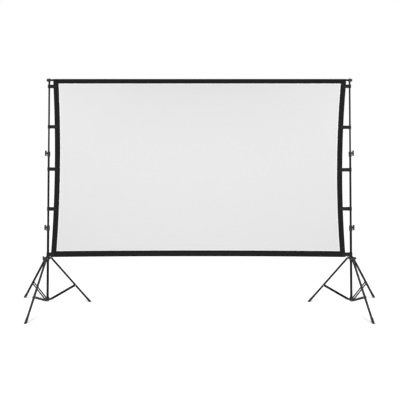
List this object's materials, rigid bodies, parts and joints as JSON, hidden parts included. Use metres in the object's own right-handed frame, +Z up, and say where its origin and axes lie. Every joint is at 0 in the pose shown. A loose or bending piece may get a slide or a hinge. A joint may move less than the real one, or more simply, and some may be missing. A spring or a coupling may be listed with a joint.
{
  "type": "tripod projector screen",
  "caption": "Free-standing projector screen: a bordered cloth panel hung from a crossbar and tied between folding telescopic tripod masts.",
  "frame": {"origin": "middle of the footprint on the floor, under the middle of the crossbar", "axes": "+X along the crossbar to the viewer's right, +Y away from the viewer, +Z up"},
  "size_m": [3.4324, 0.6582, 2.1138],
  "materials": {
    "coated_tube": "satin black powder coat",
    "coated_channel": "satin black powder coat",
    "clamp_nylon": "moulded black nylon",
    "knob_nylon": "moulded black nylon",
    "foot_rubber": "matt black rubber",
    "screen_cloth": "matt grey-white screen cloth",
    "border_cloth": "matt black woven cloth",
    "strap_webbing": "black elastic webbing"
  },
  "bodies": {
    "crossbar_and_screen": {"centre_crossbar_tube": "coated_tube", "top_hem": "border_cloth", "screen_panel": "screen_cloth", "left_crossbar_tube": "coated_tube", "left_bar_end": "clamp_nylon", "left_mast_cap": "clamp_nylon", "left_upper_tube": "coated_tube", "left_border": "border_cloth", "left_strap_1": "strap_webbing", "left_strap_2": "strap_webbing", "right_crossbar_tube": "coated_tube", "right_bar_end": "clamp_nylon", "right_mast_cap": "clamp_nylon", "right_upper_tube": "coated_tube", "right_border": "border_cloth", "right_strap_1": "strap_webbing", "right_strap_2": "strap_webbing"},
    "left_middle_mast": {"left_middle_tube": "coated_tube", "left_upper_clamp": "clamp_nylon", "left_strap_3": "strap_webbing", "left_strap_4": "strap_webbing"},
    "left_base_mast": {"left_lower_tube": "coated_tube", "left_lower_clamp": "clamp_nylon", "left_hub": "clamp_nylon", "left_strap_5": "strap_webbing", "bottom_border": "border_cloth"},
    "left_leg_crown": {"left_crown": "clamp_nylon"},
    "left_inner_leg_with_foot": {"left_inner_leg": "coated_channel", "left_inner_foot": "foot_rubber"},
    "left_inner_brace": {"left_inner_brace": "coated_channel"},
    "left_back_leg_with_foot": {"left_back_leg": "coated_channel", "left_back_foot": "foot_rubber"},
    "left_back_brace": {"left_back_brace": "coated_channel"},
    "left_front_leg_with_foot": {"left_front_leg": "coated_channel", "left_front_foot": "foot_rubber"},
    "left_front_brace": {"left_front_brace": "coated_channel"},
    "left_upper_knob": {"left_upper_knob": "knob_nylon"},
    "left_lower_knob": {"left_lower_knob": "knob_nylon"},
    "left_crown_knob": {"left_crown_knob": "knob_nylon"},
    "right_middle_mast": {"right_middle_tube": "coated_tube", "right_upper_clamp": "clamp_nylon", "right_strap_3": "strap_webbing", "right_strap_4": "strap_webbing"},
    "right_base_mast": {"right_lower_tube": "coated_tube", "right_lower_clamp": "clamp_nylon", "right_hub": "clamp_nylon", "right_strap_5": "strap_webbing"},
    "right_leg_crown": {"right_crown": "clamp_nylon"},
    "right_inner_leg_with_foot": {"right_inner_leg": "coated_channel", "right_inner_foot": "foot_rubber"},
    "right_inner_brace": {"right_inner_brace": "coated_channel"},
    "right_back_leg_with_foot": {"right_back_leg": "coated_channel", "right_back_foot": "foot_rubber"},
    "right_back_brace": {"right_back_brace": "coated_channel"},
    "right_front_leg_with_foot": {"right_front_leg": "coated_channel", "right_front_foot": "foot_rubber"},
    "right_front_brace": {"right_front_brace": "coated_channel"},
    "right_upper_knob": {"right_upper_knob": "knob_nylon"},
    "right_lower_knob": {"right_lower_knob": "knob_nylon"},
    "right_crown_knob": {"right_crown_knob": "knob_nylon"}
  },
  "joints": [
    {"name": "left_upper_slide", "type": "slide", "parent": "crossbar_and_screen", "child": "left_middle_mast", "axis": [0, 0, 1], "range_m": [0, 0.52], "deforming": ["left_border", "left_strap_2", "screen_panel"]},
    {"name": "left_lower_slide", "type": "slide", "parent": "left_middle_mast", "child": "left_base_mast", "axis": [0, 0, 1], "range_m": [0, 0.52], "deforming": ["left_strap_3", "left_strap_4", "left_strap_5", "bottom_border"]},
    {"name": "left_crown_slide", "type": "slide", "parent": "left_base_mast", "child": "left_leg_crown", "axis": [0, 0, 1], "range_m": [0, 0.21555]},
    {"name": "left_inner_leg_pivot", "type": "hinge", "parent": "left_leg_crown", "child": "left_inner_leg_with_foot", "pos_m": [-1.37681, 0.07633, 0.448], "axis": [-0.342, 0.9397, 0], "range_deg": [0, 38.63]},
    {"name": "left_inner_brace_pivot", "type": "hinge", "parent": "left_base_mast", "child": "left_inner_brace", "pos_m": [-1.37681, 0.07633, 0.068], "axis": [0.342, -0.9397, 0], "range_deg": [0, 64.46]},
    {"name": "left_back_leg_pivot", "type": "hinge", "parent": "left_leg_crown", "child": "left_back_leg_with_foot", "pos_m": [-1.42798, 0.08535, 0.448], "axis": [-0.6428, -0.766, 0], "range_deg": [0, 38.63]},
    {"name": "left_back_brace_pivot", "type": "hinge", "parent": "left_base_mast", "child": "left_back_brace", "pos_m": [-1.42798, 0.08535, 0.068], "axis": [0.6428, 0.766, 0], "range_deg": [0, 64.46]},
    {"name": "left_front_leg_pivot", "type": "hinge", "parent": "left_leg_crown", "child": "left_front_leg_with_foot", "pos_m": [-1.41021, 0.03652, 0.448], "axis": [0.9848, -0.1736, 0], "range_deg": [0, 38.63]},
    {"name": "left_front_brace_pivot", "type": "hinge", "parent": "left_base_mast", "child": "left_front_brace", "pos_m": [-1.41021, 0.03652, 0.068], "axis": [-0.9848, 0.1736, 0], "range_deg": [0, 64.46]},
    {"name": "left_upper_knob_turn", "type": "hinge", "parent": "left_middle_mast", "child": "left_upper_knob", "pos_m": [-1.405, 0.06606, 1.4175], "axis": [-0.9063, -0.4226, 0], "range_deg": [0, 270]},
    {"name": "left_lower_knob_turn", "type": "hinge", "parent": "left_base_mast", "child": "left_lower_knob", "pos_m": [-1.405, 0.06606, 0.7305], "axis": [-0.9063, -0.4226, 0], "range_deg": [0, 270]},
    {"name": "left_crown_knob_turn", "type": "hinge", "parent": "left_leg_crown", "child": "left_crown_knob", "pos_m": [-1.405, 0.06606, 0.449], "axis": [-0.9397, -0.342, 0], "range_deg": [0, 270]},
    {"name": "right_upper_slide", "type": "slide", "parent": "crossbar_and_screen", "child": "right_middle_mast", "axis": [0, 0, 1], "range_m": [0, 0.52], "deforming": ["right_border", "right_strap_2"]},
    {"name": "right_lower_slide", "type": "slide", "parent": "right_middle_mast", "child": "right_base_mast", "axis": [0, 0, 1], "range_m": [0, 0.52], "deforming": ["right_strap_3", "right_strap_4", "right_strap_5"]},
    {"name": "right_crown_slide", "type": "slide", "parent": "right_base_mast", "child": "right_leg_crown", "axis": [0, 0, 1], "range_m": [0, 0.21555]},
    {"name": "right_inner_leg_pivot", "type": "hinge", "parent": "right_leg_crown", "child": "right_inner_leg_with_foot", "pos_m": [1.37681, 0.07633, 0.448], "axis": [-0.342, -0.9397, 0], "range_deg": [0, 38.63]},
    {"name": "right_inner_brace_pivot", "type": "hinge", "parent": "right_base_mast", "child": "right_inner_brace", "pos_m": [1.37681, 0.07633, 0.068], "axis": [0.342, 0.9397, 0], "range_deg": [0, 64.46]},
    {"name": "right_back_leg_pivot", "type": "hinge", "parent": "right_leg_crown", "child": "right_back_leg_with_foot", "pos_m": [1.42798, 0.08535, 0.448], "axis": [-0.6428, 0.766, 0], "range_deg": [0, 38.63]},
    {"name": "right_back_brace_pivot", "type": "hinge", "parent": "right_base_mast", "child": "right_back_brace", "pos_m": [1.42798, 0.08535, 0.068], "axis": [0.6428, -0.766, 0], "range_deg": [0, 64.46]},
    {"name": "right_front_leg_pivot", "type": "hinge", "parent": "right_leg_crown", "child": "right_front_leg_with_foot", "pos_m": [1.41021, 0.03652, 0.448], "axis": [0.9848, 0.1736, 0], "range_deg": [0, 38.63]},
    {"name": "right_front_brace_pivot", "type": "hinge", "parent": "right_base_mast", "child": "right_front_brace", "pos_m": [1.41021, 0.03652, 0.068], "axis": [-0.9848, -0.1736, 0], "range_deg": [0, 64.46]},
    {"name": "right_upper_knob_turn", "type": "hinge", "parent": "right_middle_mast", "child": "right_upper_knob", "pos_m": [1.405, 0.06606, 1.4175], "axis": [0.9063, -0.4226, 0], "range_deg": [0, 270]},
    {"name": "right_lower_knob_turn", "type": "hinge", "parent": "right_base_mast", "child": "right_lower_knob", "pos_m": [1.405, 0.06606, 0.7305], "axis": [0.9063, -0.4226, 0], "range_deg": [0, 270]},
    {"name": "right_crown_knob_turn", "type": "hinge", "parent": "right_leg_crown", "child": "right_crown_knob", "pos_m": [1.405, 0.06606, 0.449], "axis": [0.9397, -0.342, 0], "range_deg": [0, 270]}
  ],
  "couplings": [
    {"joint": "left_inner_leg_pivot", "follows": "left_crown_slide", "rad_per_m": 3.1278},
    {"joint": "left_inner_brace_pivot", "follows": "left_crown_slide", "rad_per_m": 5.2192},
    {"joint": "left_back_leg_pivot", "follows": "left_crown_slide", "rad_per_m": 3.1278},
    {"joint": "left_back_brace_pivot", "follows": "left_crown_slide", "rad_per_m": 5.2192},
    {"joint": "left_front_leg_pivot", "follows": "left_crown_slide", "rad_per_m": 3.1278},
    {"joint": "left_front_brace_pivot", "follows": "left_crown_slide", "rad_per_m": 5.2192},
    {"joint": "right_inner_leg_pivot", "follows": "right_crown_slide", "rad_per_m": 3.1278},
    {"joint": "right_inner_brace_pivot", "follows": "right_crown_slide", "rad_per_m": 5.2192},
    {"joint": "right_back_leg_pivot", "follows": "right_crown_slide", "rad_per_m": 3.1278},
    {"joint": "right_back_brace_pivot", "follows": "right_crown_slide", "rad_per_m": 5.2192},
    {"joint": "right_front_leg_pivot", "follows": "right_crown_slide", "rad_per_m": 3.1278},
    {"joint": "right_front_brace_pivot", "follows": "right_crown_slide", "rad_per_m": 5.2192},
    {"joint": "right_upper_slide", "follows": "left_upper_slide", "ratio": 1},
    {"joint": "right_lower_slide", "follows": "left_lower_slide", "ratio": 1}
  ]
}
